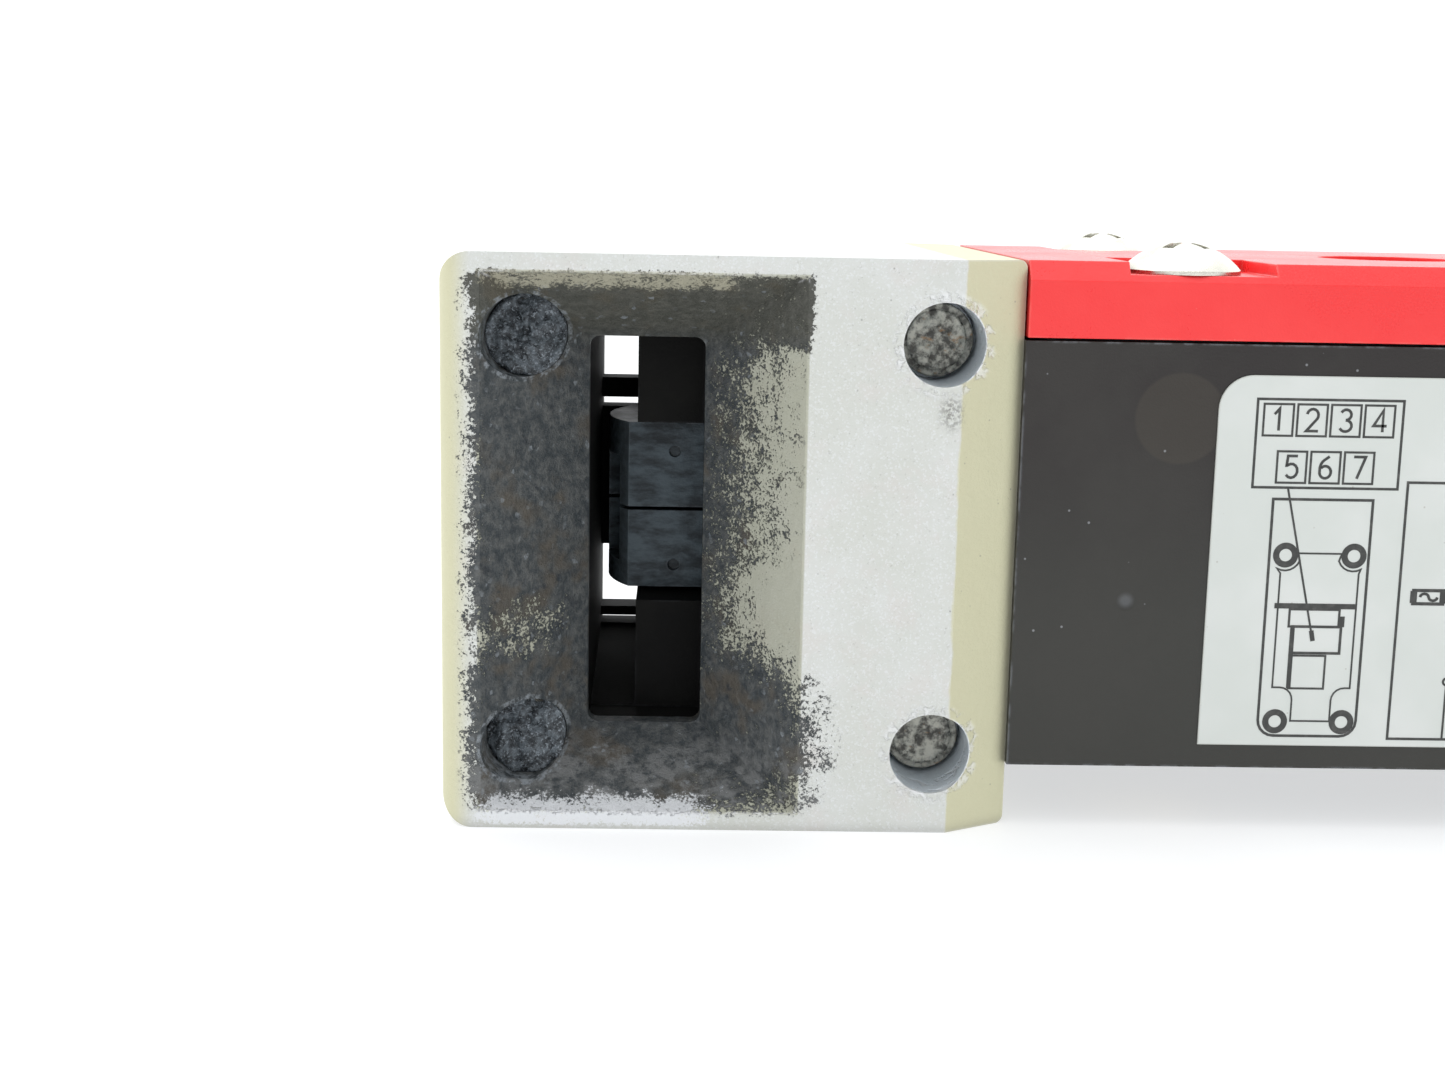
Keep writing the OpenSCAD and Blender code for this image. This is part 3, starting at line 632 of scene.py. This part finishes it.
def lumpy_pad(name, finish, x, z, radius, bottom, top, tilt, lump, seed):
    """A closed disc along Y with a lumpy, tilted outer face, such as grease in a bore."""
    work = bmesh.new()
    back_centre = work.verts.new((x * MM, bottom * MM, z * MM))
    rows = []
    for i in range(1, PAD_RINGS + 1):
        rows.append([])
        for k in range(PAD_SIDES):
            angle = 2 * math.pi * k / PAD_SIDES
            px = x + radius * i / PAD_RINGS * math.cos(angle)
            pz = z + radius * i / PAD_RINGS * math.sin(angle)
            rough = noise.noise(Vector((px * 0.9, seed, pz * 0.9)))
            rough += 0.5 * noise.noise(Vector((px * 2.3, seed, pz * 2.3)))
            py = top + tilt * (pz - z) / radius + lump * rough
            rows[-1].append(work.verts.new((px * MM, py * MM, pz * MM)))
    front_centre = work.verts.new((x * MM, (top + lump * 0.3) * MM, z * MM))
    back = [work.verts.new((v.co.x, bottom * MM, v.co.z)) for v in rows[-1]]
    rows.append(back)
    for k in range(PAD_SIDES):
        after = (k + 1) % PAD_SIDES
        work.faces.new((front_centre, rows[0][k], rows[0][after]))
        work.faces.new((back_centre, back[after], back[k]))
        for inner, outer in zip(rows, rows[1:]):
            work.faces.new((inner[k], outer[k], outer[after], inner[after]))
    bmesh.ops.recalc_face_normals(work, faces=work.faces)
    for face in work.faces:
        face.smooth = True
    mesh = bpy.data.meshes.new(name)
    work.to_mesh(mesh)
    work.free()
    link(name, mesh, finish)


screw_top = corners("head_screws")[0].y
low_z, high_z = SCREW_Z
left_x, right_x = SCREW_X
lumpy_pad("grease_upper", "grease", left_x, high_z, 2.96, screw_top, -16.6, 0.9, 0.8, 1)
lumpy_pad("grease_lower", "grease", left_x, low_z, 2.96, screw_top, -16.4, 0.7, 0.8, 5)
for name, z, seed in (("dirt_upper", high_z, 8), ("dirt_lower", low_z, 11)):
    lumpy_pad(name, SCREW_SLOT, right_x, z, 2.2, screw_top + 0.3, screw_top - 0.3, 0.1, 0.35, seed)


# -------------------------------------------------------------- label print

class Print:
    """Line art as thin closed strips that stand just proud of the label."""

    def __init__(self):
        self.work = bmesh.new()
        self.count = 0

    def at(self, point, lift):
        """A point of the art, in millimetres from the head's free end, on the label."""
        return (
            (HEAD_X0 + point[0]) * MM,
            (label_lo.y - lift) * MM,
            point[1] * MM,
        )

    def strip(self, points, width, closed=False):
        """A line of even width through the points, mitred at its corners."""
        ring = [Vector(p) for p in points]
        last = len(ring) - 1
        sides = []
        for i, point in enumerate(ring):
            before = ring[i - 1] if i or closed else None
            after = ring[(i + 1) % len(ring)] if i < last or closed else None
            normals = []
            for start, end in ((before, point), (point, after)):
                if start is not None and end is not None:
                    along = (end - start).normalized()
                    normals.append(Vector((-along.y, along.x)))
            across = sum(normals, Vector((0, 0))).normalized()
            reach = 0.5 * width / max(0.35, across.dot(normals[0]))
            sides.append((point + across * reach, point - across * reach))
        self.prism(sides, closed)

    def prism(self, sides, closed):
        self.count += 1
        lift = 0.012 + 0.0004 * self.count
        rows = []
        for left, right in sides:
            rows.append([self.work.verts.new(self.at(p, h))
                         for p, h in ((left, lift), (right, lift), (right, -0.01), (left, -0.01))])
        pairs = list(zip(rows, rows[1:]))
        if closed:
            pairs.append((rows[-1], rows[0]))
        for a, b in pairs:
            for k in range(4):
                self.work.faces.new((a[k], a[(k + 1) % 4], b[(k + 1) % 4], b[k]))
        if not closed:
            self.work.faces.new(rows[0][::-1])
            self.work.faces.new(rows[-1])

    def ring(self, centre, radius, width):
        points = [(centre[0] + radius * math.cos(a), centre[1] + radius * math.sin(a))
                  for a in (2 * math.pi * i / 40 for i in range(40))]
        self.strip(points, width, closed=True)

    def frame(self, x0, z0, x1, z1, width):
        self.strip([(x0, z0), (x1, z0), (x1, z1), (x0, z1)], width, closed=True)

    def finish(self):
        bmesh.ops.recalc_face_normals(self.work, faces=self.work.faces)
        mesh = bpy.data.meshes.new("label_print")
        self.work.to_mesh(mesh)
        self.work.free()
        piece = link("label_print", mesh, "label_ink")


def arc(cx, cz, rx, rz, start, end, steps=10):
    """Points along an arc, its angles in degrees."""
    angles = [math.radians(start + (end - start) * i / steps) for i in range(steps + 1)]
    return [(cx + rx * math.cos(a), cz + rz * math.sin(a)) for a in angles]


DIGITS = {
    1: [[(0.10, 0.74), (0.32, 1.0), (0.32, 0.0)]],
    2: [arc(0.3, 0.72, 0.26, 0.28, 170, -35) + [(0.04, 0.0), (0.58, 0.0)]],
    3: [arc(0.28, 0.76, 0.24, 0.24, 155, -90), arc(0.28, 0.26, 0.28, 0.26, 90, -155)],
    4: [[(0.44, 0.0), (0.44, 1.0), (0.02, 0.28), (0.62, 0.28)]],
    5: [[(0.54, 1.0), (0.10, 1.0), (0.06, 0.56)] + arc(0.28, 0.32, 0.28, 0.32, 130, -145)],
    6: [[(0.46, 1.0)] + arc(0.42, 0.40, 0.38, 0.5, 120, 170, 4)
        + arc(0.30, 0.28, 0.26, 0.28, 170, 500, 18)],
    7: [[(0.04, 1.0), (0.58, 1.0), (0.22, 0.0)]],
}
LINE = 0.19
BOX = 2.35


def digit(art, number, x, z, height):
    for stroke in DIGITS[number]:
        art.strip([(x + px * height, z + pz * height) for px, pz in stroke], 0.2)


def terminal_table(art):
    """Two rows of numbered boxes in a frame, one for each terminal."""
    art.frame(59.0, 25.95, 69.65, 32.4, LINE)
    rows = ((59.39, 29.7, (1, 2, 3, 4)), (60.59, 26.26, (5, 6, 7)))
    for x, z, numbers in rows:
        for number in numbers:
            art.frame(x + 0.1, z + 0.05, x + BOX - 0.1, z + BOX, 0.16)
            digit(art, number, x + 0.72, z + 0.42, 1.6)
            x += 2.46


def housing_pictogram(art):
    """The opened switch seen from above: outline, screws, cavity and contact block."""
    left, right, top, bottom = 60.6, 67.94, 25.1, 7.25
    outline = [(left, top)] + arc(left + 1.2, bottom + 1.2, 1.2, 1.2, 180, 270, 5)
    outline += arc(right - 1.2, bottom + 1.2, 1.2, 1.2, 270, 360, 5) + [(right, top)]
    art.strip(outline, 0.2, closed=True)
    for centre in ((61.8, 20.95), (66.85, 20.95), (61.87, 8.35), (66.85, 8.35)):
        art.ring(centre, 0.7, 0.46)
    cavity = [(62.7, 21.1), (65.95, 21.1)]
    cavity += arc(66.85, 20.95, 1.15, 1.15, 200, 300, 6)
    cavity += [(67.3, 19.6), (67.3, 10.96)] + arc(66.9, 10.0, 0.96, 0.96, 90, 180, 5)
    cavity += [(65.94, 8.4), (63.02, 8.4)] + arc(62.06, 10.0, 0.96, 0.96, 0, 90, 5)
    cavity += [(61.5, 10.96), (61.5, 19.6)] + arc(61.8, 20.95, 1.15, 1.15, 240, 340, 6)
    art.strip(cavity, 0.13, closed=True)
    art.strip([(61.24, 17.15), (67.34, 17.15)], 0.4)
    art.frame(62.4, 15.6, 66.1, 16.9, 0.17)
    art.frame(62.7, 13.6, 66.3, 15.6, 0.2)
    art.frame(62.7, 10.9, 65.3, 13.4, 0.15)
    art.strip([(62.7, 15.6), (62.7, 10.9)], 0.34)
    art.strip([(66.35, 15.6), (66.35, 16.4)], 0.34)
    art.strip([(61.6, 26.0), (64.26, 14.52)], 0.15)
    art.strip([(64.1, 15.3), (64.26, 14.52)], 0.34)


def circuit_diagram(art):
    """A generic diagram of three change-over contacts in a frame."""
    left, right, top, bottom = 70.4, 103.5, 26.46, 7.12
    art.frame(left, bottom, right, top, LINE)
    for z in (17.45, 18.45):
        art.strip([(71.36, z), (73.83, z)], 0.24)
    art.strip([(71.5, 17.5), (71.5, 18.4)], 0.5)
    art.strip([(73.7, 17.5), (73.7, 18.4)], 0.5)
    art.strip(arc(72.3, 17.95, 0.32, 0.26, 0, 180, 6), 0.2)
    art.strip(arc(72.95, 17.95, 0.32, 0.26, 180, 360, 6), 0.2)
    for i in range(3):
        x = 74.5 + 9.4 * i
        art.strip([(x, 26.4), (x, 19.6)], 0.5 if i == 0 else 0.17)
        art.strip([(x + 1.1, 19.2), (x, 16.0), (x, 11.9)], 0.17)
        art.ring((x, 11.55), 0.26, 0.16)
        art.strip([(x, 11.2), (x, 7.2)], 0.15)
        art.strip([(x + 4.4, 26.4), (x + 4.4, 20.0), (x + 3.4, 20.0)], 0.17)
        art.strip([(x + 3.2, 16.4), (x + 4.4, 18.6)], 0.17)
        art.strip([(x + 4.4, 16.0), (x + 4.4, 7.2)], 0.15)
    art.strip([(73.9, 17.95), (98.6, 17.95)], 0.12)


art = Print()
terminal_table(art)
housing_pictogram(art)
circuit_diagram(art)
art.finish()


# ------------------------------------------------------- floor, light, camera

def floor():
    """A wide pale floor under the part."""
    mesh = bpy.data.meshes.new("floor")
    low = cad_box[0][2]
    signs = ((-1, -1), (1, -1), (1, 1), (-1, 1))
    rim = [(x * FLOOR_HALF, y * FLOOR_HALF, low) for x, y in signs]
    mesh.from_pydata(rim, [], [(0, 1, 2, 3)])
    plane = bpy.data.objects.new("floor", mesh)
    scene.collection.objects.link(plane)
    mesh.materials.append(floor_finish())


def soft_light(name, place, aim, size, watts):
    """A large rectangular lamp at a place, pointed at another."""
    lamp = bpy.data.lights.new(name, "AREA")
    lamp.shape = "RECTANGLE"
    lamp.size, lamp.size_y = size
    lamp.energy = watts
    holder = bpy.data.objects.new(name, lamp)
    scene.collection.objects.link(holder)
    holder.location = place
    holder.rotation_euler = (Vector(aim) - Vector(place)).to_track_quat("-Z", "Y").to_euler()


def studio():
    """A white room, brightest above and behind, with a soft light overhead."""
    world = bpy.data.worlds.new("white_room")
    world.use_nodes = True
    tree = world.node_tree
    background = tree.nodes["Background"]
    background.inputs["Color"].default_value = ROOM_TINT
    direction = tree.nodes.new("ShaderNodeTexCoord")
    backward = tree.nodes.new("ShaderNodeVectorMath")
    backward.operation = "DOT_PRODUCT"
    backward.inputs[1].default_value = (0, 0.9, 0.436)
    tree.links.new(direction.outputs["Generated"], backward.inputs[0])
    strength = tree.nodes.new("ShaderNodeMapRange")
    strength.interpolation_type = "SMOOTHSTEP"
    strength.inputs["From Min"].default_value = -0.6
    strength.inputs["From Max"].default_value = 1.0
    strength.inputs["To Min"].default_value = 0.70
    strength.inputs["To Max"].default_value = 1.45
    tree.links.new(backward.outputs["Value"], strength.inputs["Value"])
    tree.links.new(strength.outputs["Result"], background.inputs["Strength"])
    scene.world = world
    soft_light("overhead", (-0.1, 0.1, 0.8), (0, 0, 0), (1.0, 0.7), 2.6)
    scene.view_settings.view_transform = "Standard"
    scene.view_settings.look = "None"


def camera():
    """A camera level with the lid, a little left of the head, looking slightly down."""
    pitch, yaw, roll = 0.181, 0.022, 0.019
    ahead = Vector((math.sin(yaw), math.cos(yaw), 0))
    right = Vector((math.cos(yaw), -math.sin(yaw), 0))
    up = Vector((0, 0, 1))
    look = ahead * math.cos(pitch) - up * math.sin(pitch)
    up = up * math.cos(pitch) + ahead * math.sin(pitch)
    tilted_right = right * math.cos(roll) + up * math.sin(roll)
    tilted_up = up * math.cos(roll) - right * math.sin(roll)
    lens = bpy.data.cameras.new("camera")
    lens.sensor_width = 36
    lens.lens = 48.37
    lens.clip_start = 0.01
    holder = bpy.data.objects.new("camera", lens)
    scene.collection.objects.link(holder)
    turn = Matrix((tilted_right, tilted_up, -look)).transposed().to_4x4()
    holder.matrix_world = Matrix.Translation(Vector((-45.07, -158.21, 46.75)) * MM) @ turn
    scene.camera = holder


floor()
studio()
camera()
